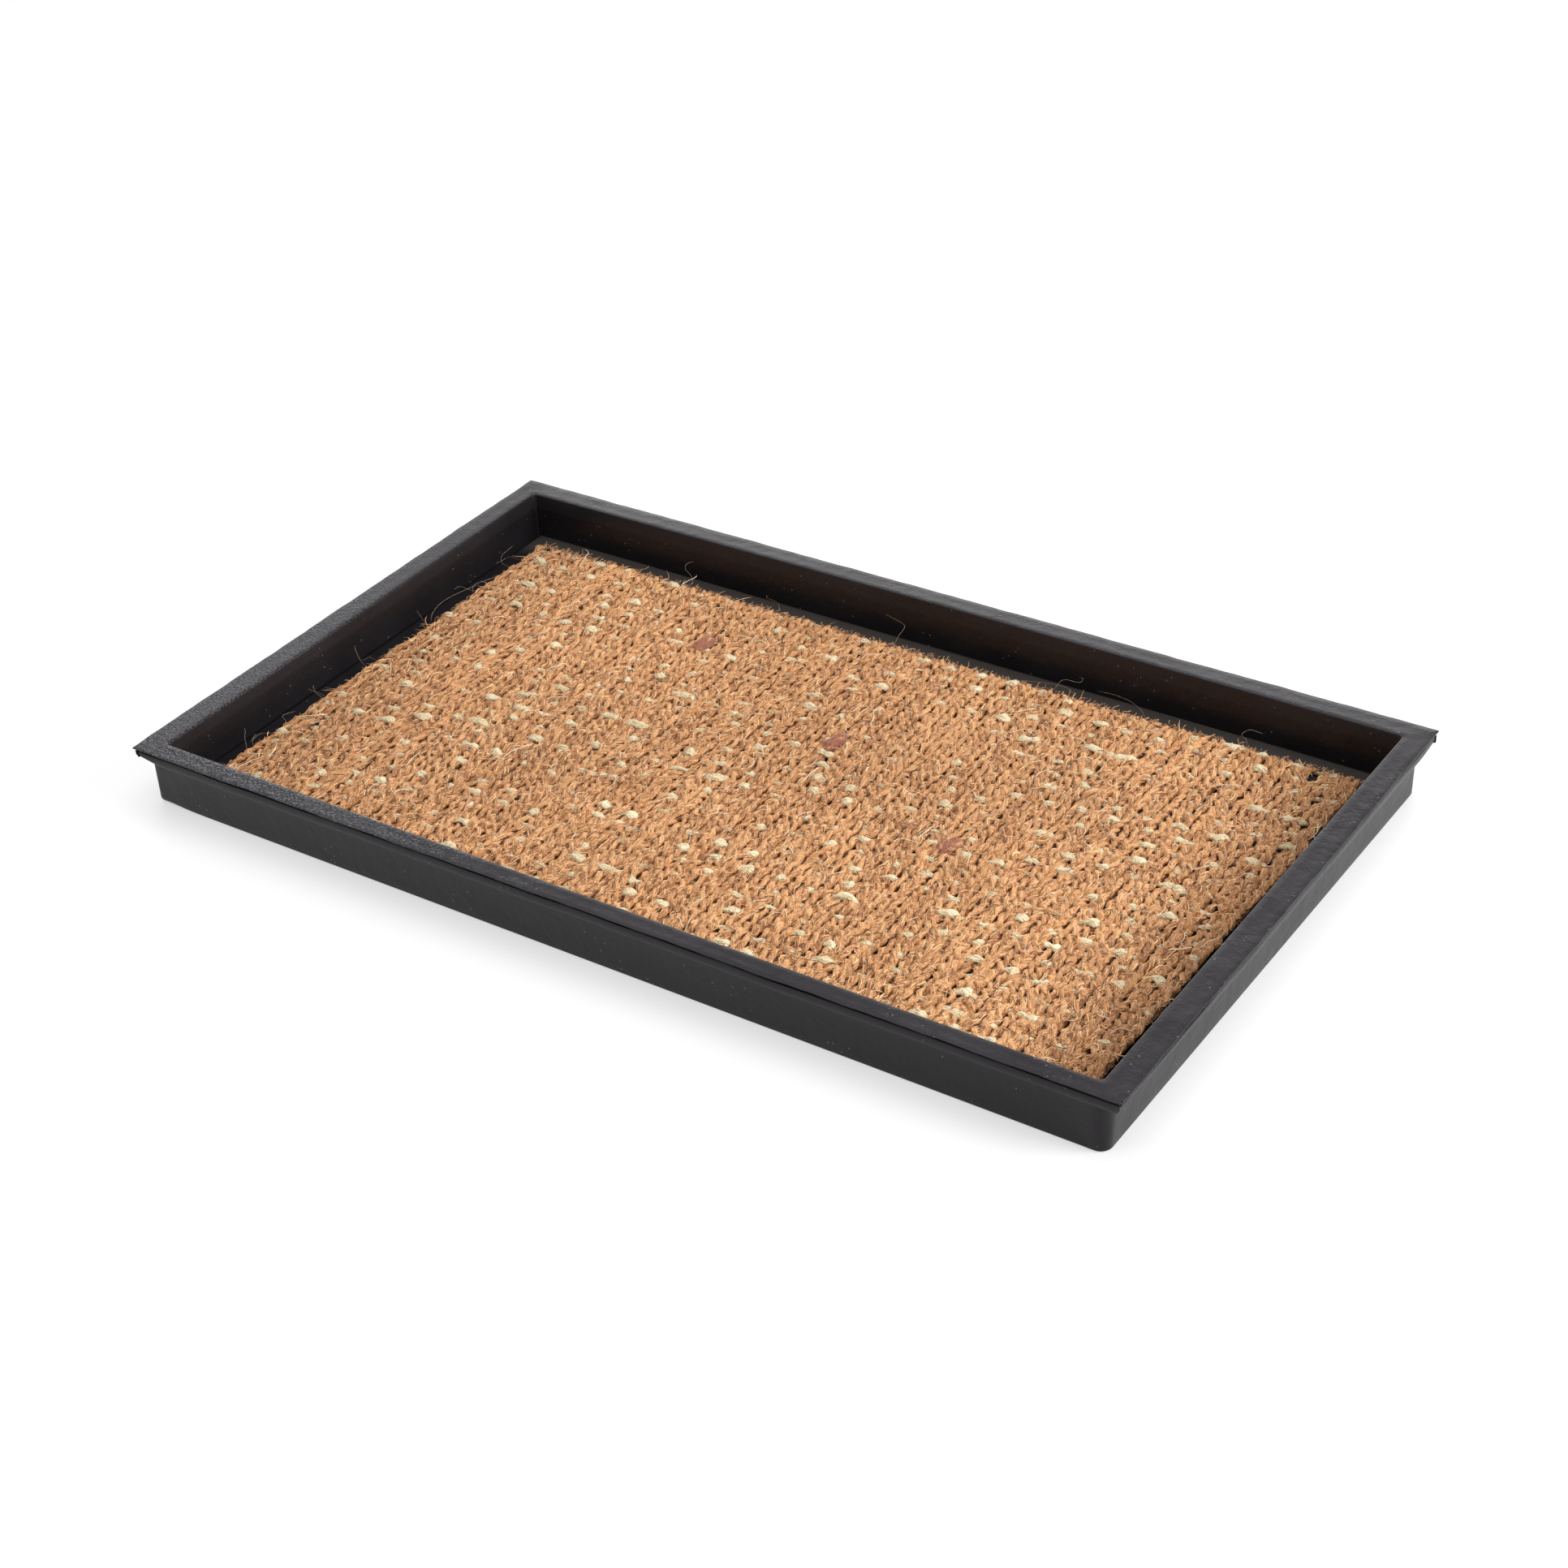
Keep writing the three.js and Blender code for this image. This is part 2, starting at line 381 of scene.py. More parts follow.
def rubber_material():
    """Black rubber with a fine grain, dull clouds, dust specks and scratches, and painted shade and light in
    places.
    """
    n = material_nodes("moulded_rubber")
    place = n.place()
    x, y, z = n.split(place)
    cloud = n.noise(place, 16.0, 4.0, 0.6)
    crevice_shade = n.attribute("crevice_shade")
    on_top = n.maths("GREATER_THAN", z, RIM_TOP_ABOVE)
    toward_front_left = n.product(n.maths("ADD", x, y), -1.0)
    front_left_top = n.product(n.ranged(toward_front_left, PALE_TOWARD_FRONT_LEFT, smooth=True), on_top)
    rare = n.maths("GREATER_THAN", n.total(n.noise(place, 60.0, 2.0), n.product(front_left_top, 0.3)), 0.57)
    rough = n.total(n.ranged(cloud, (0.3, 0.7), 0.26, 0.34), n.ranged(x, DULL_LEFT_X, high=0.12))
    n.set(Base_Color=rubber_colour(n, cloud, on_top, front_left_top, rare, crevice_shade))
    n.set(Roughness=n.maths("MAXIMUM", rough, crevice_shade))
    n.set(Normal=n.bump(rubber_height(n, front_left_top, rare), 0.3, 0.0006))
    n.set(Specular_IOR_Level=0.24, Specular_Tint=(1.0, 0.94, 0.99, 1))
    return n.owner


def latex_material():
    """Black latex coat, pebbled where it soaked into the cloth."""
    n = material_nodes("latex_backing")
    place = n.place()
    tone = n.ramp(n.noise(place, 60.0, 4.0), [(0.3, grey(0.006)), (0.75, grey(0.016))])
    n.set(Base_Color=tone, Roughness=0.62, Normal=n.bump(n.cells(place, 420.0), 0.5, 0.0008))
    n.set(Specular_IOR_Level=0.3)
    return n.owner


def yarn_material(name, dark, middle, light, streak_across):
    """Spun fibre: streaks that run with the ply, painted shade down in the gaps, and darker at the mat's
    ends.
    """
    n = material_nodes(name)
    fibre = n.attribute("fibre", "Vector")
    streaks = n.noise(n.stretched(fibre, (0.55, streak_across, 1.0)), 1.0, 3.0, 0.6)
    fine = n.noise(n.stretched(fibre, (1.0, 1.4 * streak_across, 1.0)), 1.0, 2.0, 0.6)
    patches = n.noise(n.stretched(fibre, (0.09, 0.25, 1.0)), 1.0, 2.0)
    value = n.total(n.product(streaks, 0.45), n.product(fine, 0.55))
    shade = n.total(
        value,
        n.product(n.attribute("tint"), 0.02),
        n.product(n.maths("SUBTRACT", patches, 0.5), 0.22),
    )
    colour = n.ramp(shade, [(0.40, dark), (0.49, middle), (0.58, light)])
    # painted shade: the yarn is darker and warmer lower down, in the gaps between the plies
    crown_shade = [(0.0, (0.40, 0.275, 0.17, 1)), (0.5, (0.86, 0.79, 0.705, 1)), (1.0, grey(1.0))]
    colour = n.tinted(colour, n.ramp(n.attribute("crown_shade"), crown_shade))
    place = n.place()
    broad = [(0.35, (0.81, 0.785, 0.76, 1)), (0.62, grey(1.0))]
    colour = n.tinted(colour, n.ramp(n.noise(place, 6.0), broad))
    end = n.ranged(n.maths("ABSOLUTE", n.split(place)[0]), MAT_END_X, smooth=True)
    colour = n.mix(end, colour, n.tinted(colour, (0.75, 0.72, 0.69, 1)))
    n.set(Base_Color=colour, Roughness=0.85, Normal=n.bump(value, 1.0, 0.0010))
    n.set(Specular_IOR_Level=0.2, Sheen_Weight=0.15, Sheen_Roughness=0.5)
    return n.owner


def fibre_material(name, colour):
    """One loose fibre's colour; the variety comes from the mix of fibres."""
    n = material_nodes(name)
    n.set(Base_Color=colour, Roughness=0.62, Specular_IOR_Level=0.3, Sheen_Weight=0.2)
    return n.owner


RUBBER = rubber_material()
LATEX = latex_material()
COIR = yarn_material(
    "coir_yarn", (0.27, 0.108, 0.033, 1), (0.64, 0.314, 0.127, 1), (0.77, 0.440, 0.207, 1), 1.5
)
IVORY = yarn_material(
    "ivory_yarn", (0.44, 0.31, 0.150, 1), (0.75, 0.61, 0.37, 1), (0.87, 0.78, 0.56, 1), 1.1
)


# ---- Tray ----

class Plan:
    """An outline of the tray from above. All its rings have the same points in order."""

    def __init__(self, low, high, radii, skew=((0, 0),) * 4):
        """radii and skew, how far each corner is moved, run as RIM_RADII does."""
        self.low, self.high, self.radii = np.array(low), np.array(high), np.array(radii)
        self.skew = np.array(skew)
        self.points, self.normals = self.outline(0.0)
        self.share = np.arange(len(self.points)) / len(self.points)

    def outline(self, out, skew_share=1.0):
        """Points and outward directions of the outline grown by a distance."""
        low, high = self.low - out, self.high + out
        radii = np.maximum(self.radii + out, LEAST_RADIUS)
        signs = np.array([(1, 1), (-1, 1), (-1, -1), (1, -1)])
        middles = np.where(signs > 0, high, low) - radii[:, None] * signs
        points, normals = [], []
        for index, (middle, radius) in enumerate(zip(middles, radii)):
            after = (index + 1) % 4
            angles = (index + np.linspace(0, 1, CORNER_STEPS + 1)) * math.pi / 2
            arc = np.stack([np.cos(angles), np.sin(angles)], -1)
            start = middle + radius * arc[-1]
            end = middles[after] + radii[after] * arc[-1]
            steps = SIDE_STEPS_X if index % 2 == 0 else SIDE_STEPS_Y
            t = np.linspace(0, 1, steps + 1)[1:-1, None]
            points += [middle + radius * arc, start + t * (end - start)]
            normals += [arc, np.repeat(arc[-1:], steps - 1, axis=0)]
        points, normals = join(points), join(normals)
        u, v = ((points - low) / (high - low)).T
        weights = np.stack([u * v, (1 - u) * v, (1 - u) * (1 - v), u * (1 - v)], -1)
        return points + skew_share * (weights @ self.skew), normals

    def ring(self, out, extra, z, skew_share=1.0):
        """Points round the outline grown by out, with a further offset and a height that may vary."""
        points, normals = self.outline(out, skew_share)
        flat = points + normals * np.broadcast_to(extra, self.share.shape)[:, None]
        return np.column_stack([flat, np.broadcast_to(z, self.share.shape)])

    def facing(self, axis, sign):
        """How far each point faces along an axis, from 0 to 1."""
        return (sign * self.normals[:, axis]).clip(0)

    def near(self, place, reach):
        """How near each point is to a place, from 0 to 1."""
        return bell(np.linalg.norm(self.points - place, axis=1), reach)


OPENING_LOW = (TRAY_LOW[0] + RIM_LEFT, TRAY_LOW[1] + RIM_FRONT)
OPENING_HIGH = (TRAY_HIGH[0] - RIM_RIGHT, TRAY_HIGH[1] - RIM_BACK)


class Section:
    """The tray's section as rings in order, and how much painted shade each gets for lying in a crevice,
    from 0 to 1.
    """

    def __init__(self):
        self.rings, self.crevice_shades = [], []

    def add(self, ring, crevice_shade=0.0):
        self.rings.append(ring)
        self.crevice_shades.append(np.broadcast_to(crevice_shade, len(ring)))


def add_inside(section, inner, bow, rise):
    """The floor's edge with its groove on the left, the inner wall and its rounded top."""
    top = TRAY_HIGH[2]
    at_left = inner.facing(0, -1)
    groove_bottom = FLOOR_TOP - LEFT_GROOVE * at_left
    section.add(inner.ring(-6.5, bow, FLOOR_TOP))
    section.add(inner.ring(-4.7, bow, FLOOR_TOP))
    section.add(inner.ring(-4.6, bow, groove_bottom), at_left)
    section.add(inner.ring(-3.5, bow, groove_bottom), at_left)
    for share in (0.0, 0.03, 0.3, 0.6, 0.85):
        height = FLOOR_TOP + 0.2 + share * (top - FLOOR_TOP - 1.0)
        crevice_shade = at_left if share == 0 else 0
        section.add(inner.ring(-INNER_DRAFT * (1 - share), bow, height + rise * share), crevice_shade)
    for angle in quarter_turn(3):
        out = INNER_EDGE_ROUNDING * (1 - math.cos(angle))
        height = top + rise - INNER_EDGE_ROUNDING * (1 - math.sin(angle))
        section.add(inner.ring(out, bow, height))


def add_rim(section, rim, rise):
    """The rim's top, its thin trimmed lip, the groove under it and the band. Returns the band's foot."""
    on_left = rim.facing(0, -1)
    merged = rim.facing(0, 1) * (1 - smooth_step(rim.points[:, 1], *MERGE_SPAN))
    apart = 1 - merged
    nick = rim.near(np.array([TRAY_HIGH[0], TRAY_LOW[1]]) + NICK_PLACE + rim.skew[3], NICK_REACH)
    trim = waves(rim.share, "trim", (9, 17, 31, 53), 0.5) + waves(rim.share, "fine_trim", (90, 150), 0.18)
    lip = trim - 0.4 - NICK_DEPTH * nick
    setback = -BAND_SETBACK + waves(rim.share, "setback", (7, 13, 23, 41), 0.45)
    setback = setback + 0.7 * merged - 1.0 * on_left - NICK_SETBACK * nick
    tapered = TAPER_FRONT_LEFT * rim.near(TRAY_LOW[:2] + rim.skew[2], TAPER_REACH)
    tapered = tapered + TAPER_BACK_RIGHT * rim.near(TRAY_HIGH[:2] + rim.skew[0], TAPER_REACH)
    depth = BAND_DEPTH * (1 - 0.75 * merged - tapered)
    edge_top = TRAY_HIGH[2] + rise - RIM_DROOP
    lip_bottom = edge_top - LIP_THICKNESS + waves(rim.share, "lip", (11, 29, 47), 0.3)
    band_top = lip_bottom - UNDERCUT_HEIGHT
    band_bottom = band_top - depth
    rounding = BAND_ROUNDING * (0.35 + 0.65 * depth / BAND_DEPTH + 0.5 * on_left)
    groove = setback - UNDERCUT_DEPTH * apart

    inner_edge = section.rings[-1]
    outer_edge = rim.ring(-0.5, lip, edge_top)
    for share in (0.25, 0.5, 0.75):
        across = inner_edge * (1 - share) + outer_edge * share
        across[:, 2] -= RIM_SAG * math.sin(math.pi * share)
        section.add(across)
    section.add(outer_edge)
    for out, extra, height, crevice_shade in (
        (-0.12, lip, edge_top - 0.1, nick),
        (0, lip, edge_top - 0.4, nick),
        (-0.05, lip, lip_bottom + 0.2, nick),
        (-0.3, lip, lip_bottom, apart),
        (-0.2, groove, lip_bottom - 0.05, apart),
        (-0.2, groove, band_top + 0.2, apart),
        (-0.15, setback, band_top, 0.85 * apart),
        (0, setback, band_top - 0.25, 0.45 * apart),
    ):
        section.add(rim.ring(out, extra, height), crevice_shade)
    for angle in quarter_turn(4):
        out = setback - rounding * (1 - math.cos(angle))
        section.add(rim.ring(-0.1, out, band_bottom + rounding * (1 - math.sin(angle))))
    return band_bottom


def add_wall(section, wall, bow, wall_top):
    """The outer wall, which leans in to a rounded foot, and the recessed underside."""
    for out, drop in ((0.4, -0.1), (0.1, 0.2), (0, WALL_SHOULDER)):
        section.add(wall.ring(WALL_TOP + out, bow, wall_top - drop, WALL_TOP_SKEW))
    foot = FOOT_ROUNDING + SOFT_CORNER * wall.near(OPENING_LOW, SOFT_CORNER_REACH)
    for share in (0.2, 0.4, 0.6, 0.8, 1.0):
        out = WALL_TOP + (WALL_BOTTOM - WALL_TOP) * share
        height = (wall_top - WALL_SHOULDER) * (1 - share) + foot * share
        skew_share = WALL_TOP_SKEW + (1 - WALL_TOP_SKEW) * share
        section.add(wall.ring(out, bow * (1 - share), height, skew_share))
    for angle in quarter_turn(5)[1:]:
        rounded = foot * (1 - math.cos(angle))
        section.add(wall.ring(WALL_BOTTOM, -rounded, foot * (1 - math.sin(angle))))
    foot_inner = WALL_BOTTOM - FOOT_ROUNDING - FOOT_WIDTH
    for inwards, height in ((0, 0), (0.3, 0.3), (1.2, RECESS - 0.4), (1.8, RECESS)):
        section.add(wall.ring(foot_inner - inwards, 0, height))


def tray_section():
    """The section, up the inside, over the rim and down to the foot and underside."""
    inner = Plan(OPENING_LOW, OPENING_HIGH, [OPENING_RADIUS] * 4)
    rim = Plan(TRAY_LOW[:2], TRAY_HIGH[:2], RIM_RADII, RIM_SKEW)
    wall = Plan(OPENING_LOW, OPENING_HIGH, np.array(WALL_RADII) - WALL_BOTTOM, WALL_SKEW)
    half_way = 1 - (inner.points[:, 0] / OPENING_HIGH[0]) ** 2
    bow = half_way * (BACK_BOW * inner.facing(1, 1) + FRONT_BOW * inner.facing(1, -1))
    rise = waves(rim.share, "rise", (1, 2, 3, 5), 0.3)
    section = Section()
    add_inside(section, inner, bow, rise)
    band_bottom = add_rim(section, rim, rise)
    add_wall(section, wall, bow, band_bottom - 0.1)
    return section


def loft_faces(rings):
    """Quads between rings, and one flat face inside the first and the last."""
    grid = np.arange(len(rings) * len(rings[0])).reshape(len(rings), -1)
    return [skin(grid)[:, [0, 3, 2, 1]], grid[:1], grid[-1:, ::-1]]


def make_tray():
    section = tray_section()
    points, faces = join(section.rings), loft_faces(section.rings)
    # how much painted crevice shade each point gets, read by the rubber material
    crevice_shades = {"crevice_shade": join(section.crevice_shades).clip(0, 1)}
    piece = make_piece("rubber_tray", points, faces, RUBBER, "tray", crevice_shades, SHARP_ANGLE)
    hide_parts("tray")


# ---- Weave paths, in the mat's own millimetres: x and y from its middle, z from the backing ----

# Holes where the coir yarns part and the backing shows: x, y, width and length.
HOLES = (
    (-267, 141, 3.4, 4), (251, 141, 3.8, 3.2), (255, 135, 3.2, 3.4), (266, 117, 2.2, 4),
    (267, 96, 2.4, 4), (266, 71, 2.0, 4), (-270, 70, 1.6, 4), (-271, -32, 1.6, 4),
    (24, 6, 1.0, 4), (56, -18, 0.9, 4), (150, -112, 1.0, 4),
)


def part_at_holes(x, y):
    """Moves yarns sideways, away from the holes."""
    shift = np.zeros_like(x)
    for hole_x, hole_y, width, length in HOLES:
        away = x - hole_x
        reach = bell(away, 3 * width) * bell(y - hole_y, length)
        shift += np.where(away >= 0, 1, -1) * width * reach
    return x + shift


def strayed(base, strays, place, index):
    """A yarn's line with its sideways strays added."""
    for size, reach, shift in strays:
        base = base + size * np.sin(place / reach + shift * index)
    return base


def row_base(row):
    return (row - (ROW_COUNT - 1) / 2) * ROW_PITCH


def row_y(row, x):
    """Where an ivory row runs, for a row index and a place along the mat."""
    base = row_base(row)
    climb = ROW_SKEW * (x / HALF_X) * (1 - (base / HALF_Y) ** 2)
    return strayed(base + climb, ROW_STRAYS, x, row)


def coir_x(yarn, y):
    """Where a coir yarn runs, for a yarn index and a place across the mat."""
    base = (yarn - (COIR_COUNT - 1) / 2) * COIR_PITCH + SHIFT_RIGHT - SLANT * y / HALF_Y
    return part_at_holes(strayed(base, COIR_STRAYS, y, yarn), y)


def ivory_on_top(yarn, row):
    return (yarn + row) % WEAVE_REPEAT == 0


DOT_HEIGHT, DOT_HEIGHT_SPREAD, DOT_HEIGHT_LIMITS = 0.82, 0.26, (0.25, 1.5)
SUNK_SHARE, SUNK_HEIGHT = 0.36, 0.55
TALL_SHARE, TALL_HEIGHT = 0.09, 1.4
LONG_SHARE, LONG_DOT, DOT_HALF_LENGTHS = 0.12, 8.5, (4.0, 6.8)
DOT_SHIFT_REACH = 6.0


def dot_shapes():
    """For each ivory crossing: how far it stands up, its half length, and its shift along x and y."""
    rng = stream("dots")
    shape = (COIR_COUNT, ROW_COUNT)
    heights = rng.normal(DOT_HEIGHT, DOT_HEIGHT_SPREAD, shape)
    heights = np.where(rng.random(shape) < SUNK_SHARE, heights * SUNK_HEIGHT, heights)
    heights = np.where(rng.random(shape) < TALL_SHARE, heights * TALL_HEIGHT, heights)
    lengths = np.where(rng.random(shape) < LONG_SHARE, LONG_DOT, rng.uniform(*DOT_HALF_LENGTHS, shape))
    shift_x, shift_y = rng.normal(0, 0.8, shape), rng.normal(0, 1.0, shape)
    return np.clip(heights, *DOT_HEIGHT_LIMITS), lengths, shift_x, shift_y


DOTS, DOT_LENGTHS, DOT_SHIFT_X, DOT_SHIFT_Y = dot_shapes()
ROWS = np.arange(ROW_COUNT)
YARNS = np.arange(COIR_COUNT)

# ---- Coir yarns ----

LAY_LENGTH = 16.0  # one full turn of the two plies
LAY_SPREAD = (0.8, 1.2)
OTHER_TWIST_SHARE = 0.25
COIR_STEP = 1.3
COIR_SIDES = 12
PLY_ACROSS, PLY_UP = 1.72, 1.4
PLY_ROUGHNESS = 0.055
WIND_ACROSS, WIND_UP = 1.15, 0.75
COIR_REST, COIR_LIFT, COIR_DIP, NEIGHBOUR_DIP = 2.55, 0.45, 0.95, 0.55
CROSSING_REACH = 3.6
SHORT_ENDS = (0.5, 3.5)  # how far a coir yarn stops short of the panel's edge
END_SAG, END_SAG_REACH = 0.25, 4.0
# Wanders of a yarn's turn and place sideways, then of each ply's place sideways, height and thickness:
# how many to a yarn, size, and the length over which they change.
COIR_DRIFTS = ((1, 0.85, 11), (1, 0.40, 9), (2, 0.38, 5), (2, 0.36, 3.8), (2, 0.15, 4))
PLY_ENDS = ((0, 0.4), (1, 0.8), (-2, 0.8), (-1, 0.4))  # station, and its share of the full thickness
FELT_STATIONS, FELT_SIDES = 100, 8
FELT_INSET, FELT_MIDDLE, FELT_HALF_WIDTH, FELT_FLATNESS = 1.5, 1.5, 2.3, 0.42
FELT_STREAK_RADIUS = 2.0
COIR_CROWN, IVORY_CROWN = (2.0, 4.6), (1.8, 4.2)  # heights between which a yarn goes from shaded to lit
EAST, NORTH, UP, DOWN = (1.0, 0, 0), (0, 1.0, 0), (0, 0, 1.0), (0, 0, -1.0)


def coir_height(yarn, y):
    """The height of a coir yarn's middle, which dips where an ivory yarn passes above."""
    crossing = row_y(ROWS[:, None], coir_x(yarn, y)[None, :])
    push = np.where(ivory_on_top(yarn, ROWS), -COIR_DIP * DOTS[yarn], COIR_LIFT)
    for side in (-1, 1):
        neighbour = np.clip(yarn + side, 0, COIR_COUNT - 1)
        beside = ivory_on_top(neighbour, ROWS)
        push = np.where(beside, COIR_LIFT - NEIGHBOUR_DIP * DOTS[neighbour], push)
    return COIR_REST + (push[:, None] * bell(y[None, :] - crossing, CROSSING_REACH)).sum(axis=0)


def coir_plies(yarns, rng):
    """Centre lines of the two plies of each yarn, and their thickness along them."""
    stations = int(2 * HALF_Y / COIR_STEP) + 1
    count = len(yarns)
    turn_drift, sideways, ply_side, ply_rise, swell = (
        size * drift(rng, tubes * count, stations, COIR_STEP, reach) for tubes, size, reach in COIR_DRIFTS
    )
    centres = []
    for index, yarn in enumerate(yarns):
        ends = HALF_Y - rng.uniform(*SHORT_ENDS, 2)
        y = np.linspace(-ends[0], ends[1], stations)
        x = coir_x(yarn, y) + sideways[index]
        z = coir_height(yarn, y) * (1 - END_SAG * bell(HALF_Y - np.abs(y), END_SAG_REACH))
        twist = -1 if rng.random() < OTHER_TWIST_SHARE else 1
        lay = LAY_LENGTH * rng.uniform(*LAY_SPREAD)
        turn = TAU * y / lay + turn_drift[index] + rng.uniform(0, TAU)
        for ply in (0, 1):
            angle = twist * turn + ply * math.pi
            centres.append(np.stack([
                x + WIND_ACROSS * np.cos(angle) + ply_side[2 * index + ply],
                y,
                z + WIND_UP * np.sin(angle) + ply_rise[2 * index + ply],
            ], -1))
    return np.array(centres), np.clip(1 + swell, 0.75, 1.3)


def on_mat(points):
    """From the mat's own millimetres to the frame's."""
    return points + np.array([MAT_CENTRE[0], MAT_CENTRE[1], BACKING_TOP])


def fibre_coordinates(centres, sides, radius, rng):
    """For each tube point: millimetres along the tube, millimetres round it, and its tube."""
    steps = np.linalg.norm(np.diff(centres, axis=1), axis=-1)
    along = np.cumsum(np.pad(steps, ((0, 0), (1, 0))), axis=1)[..., None]
    around = radius * np.cos(full_turn(sides)) * math.pi / 2
    offset = rng.uniform(0, 900, len(centres))[:, None, None]
    return np.stack(np.broadcast_arrays(along + offset, around + offset, offset), axis=-1).reshape(-1, 3)


def felt_strips(yarns):
    """A low strip of matted fibre under each yarn, which closes the gaps."""
    y = np.linspace(-HALF_Y + FELT_INSET, HALF_Y - FELT_INSET, FELT_STATIONS)
    height = np.full(FELT_STATIONS, FELT_MIDDLE)
    centres = np.array([np.stack([coir_x(yarn, y), y, height], -1) for yarn in yarns])
    wide = np.full(centres.shape[:2], FELT_HALF_WIDTH)
    return tube_points(centres, EAST, UP, wide, wide * FELT_FLATNESS, FELT_SIDES), centres


def make_yarns(name, points, faces, material, streaks, tints, crown_shade):
    """Yarns as one piece, with what the yarn material reads at each point."""
    # the height share that the yarn material reads as painted shade in the gaps
    attributes = {"fibre": streaks, "tint": tints, "crown_shade": smooth_step(points[:, 2], *crown_shade)}
    return make_piece(name, on_mat(points), faces, material, "insert", attributes)


def make_coir_group(group):
    """Every eighth coir yarn, as one piece, so that the yarns of a piece share one crossing pattern."""
    yarns = YARNS[group::COIR_GROUPS]
    rng = stream("coir", group)
    centres, swell = coir_plies(yarns, stream("plies", group))
    tubes, stations = centres.shape[:2]
    taper = np.ones(stations)
    for station, share in PLY_ENDS:
        taper[station] = share
    bumps = 1 + rng.normal(0, PLY_ROUGHNESS, (tubes, stations, COIR_SIDES))
    thick = swell * taper
    plies = tube_points(centres, EAST, UP, PLY_ACROSS * thick, PLY_UP * thick, COIR_SIDES, bumps)
    felt, felt_lines = felt_strips(yarns)
    felt_faces = tube_faces(len(yarns), FELT_STATIONS, FELT_SIDES)
    streaks = join([
        fibre_coordinates(centres, COIR_SIDES, PLY_ACROSS, stream("coir_streaks", group)),
        fibre_coordinates(felt_lines, FELT_SIDES, FELT_STREAK_RADIUS, stream("felt_streaks", group)),
    ])
    tints = np.append(np.repeat(rng.normal(0, 1, tubes), stations * COIR_SIDES), np.zeros(len(felt)))
    faces = tube_faces(tubes, stations, COIR_SIDES) + [face + len(plies) for face in felt_faces]
    points = join([plies, felt])
    piece = make_yarns(f"coir_yarns_{group + 1}", points, faces, COIR, streaks, tints, COIR_CROWN)
    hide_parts("coir_panel")
    return piece, centres, swell


# ---- Ivory yarns ----

IVORY_STEP = 1.2
IVORY_SIDES = 14
IVORY_LOW, IVORY_HIGH = 1.3, 3.1
IVORY_THIN, IVORY_FAT = 1.6, 2.3
IVORY_HALF_HEIGHT, IVORY_HEIGHT_GAIN, FATTEST = 1.0, 0.45, 1.3
IVORY_RIDGES, RIDGE_SIZE, RIDGE_TWIST = 5, 0.05, 1.7
IVORY_ROUGHNESS = 0.07


def ivory_line(row):
    """Centre line of an ivory yarn, and how exposed it is at each station; 1 is an ordinary dot."""
    stations = int(2 * HALF_X / IVORY_STEP) + 1
    x = np.linspace(-HALF_X, HALF_X, stations) + 0.5 * SHIFT_RIGHT
    y = row_y(row, x)
    over = YARNS[ivory_on_top(YARNS, row)]
    places = coir_x(over, np.full(len(over), row_base(row)))
    away = x[None, :] - (places + DOT_SHIFT_X[over, row])[:, None]
    exposed = (DOTS[over, row][:, None] * bell(away, DOT_LENGTHS[over, row][:, None])).sum(axis=0)
    y = y + (DOT_SHIFT_Y[over, row][:, None] * bell(away, DOT_SHIFT_REACH)).sum(axis=0)
    z = IVORY_LOW + (IVORY_HIGH - IVORY_LOW) * exposed
    return np.stack([x, y, z], -1), exposed


def make_ivory_group(group):
    """Every third ivory yarn, as one piece."""
    rows = ROWS[group::IVORY_GROUPS]
    rng = stream("ivory", group)
    lines, exposures = zip(*[ivory_line(row) for row in rows])
    centres, exposed = np.array(lines), np.array(exposures)
    count, stations = exposed.shape
    centres[..., 1] += 0.45 * drift(rng, count, stations, IVORY_STEP, reach=6)
    centres[..., 2] += 0.20 * drift(rng, count, stations, IVORY_STEP, reach=4)
    fat = np.clip(exposed, 0, FATTEST)
    swell = 1 + 0.27 * drift(rng, count, stations, IVORY_STEP, reach=3).clip(-1.7, 2.0)
    width = (IVORY_THIN + (IVORY_FAT - IVORY_THIN) * fat) * swell
    height = (IVORY_HALF_HEIGHT + IVORY_HEIGHT_GAIN * fat) * swell
    around = IVORY_RIDGES * full_turn(IVORY_SIDES)
    ridges = RIDGE_SIZE * np.cos(around + centres[..., :1] / RIDGE_TWIST)
    bumps = 1 + ridges + rng.normal(0, IVORY_ROUGHNESS, (count, stations, IVORY_SIDES))
    points = tube_points(centres, NORTH, DOWN, width, height, IVORY_SIDES, bumps)
    streaks = fibre_coordinates(centres, IVORY_SIDES, IVORY_FAT, stream("ivory_streaks", group))
    tints = np.repeat(rng.normal(0, 0.6, count), stations * IVORY_SIDES)
    faces = tube_faces(count, stations, IVORY_SIDES)
    piece = make_yarns(f"ivory_yarns_{group + 1}", points, faces, IVORY, streaks, tints, IVORY_CROWN)
    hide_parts(*[IVORY_NODES[row] for row in rows])
    return piece, centres, np.stack([width, height], -1)


# ---- Loose fibres ----

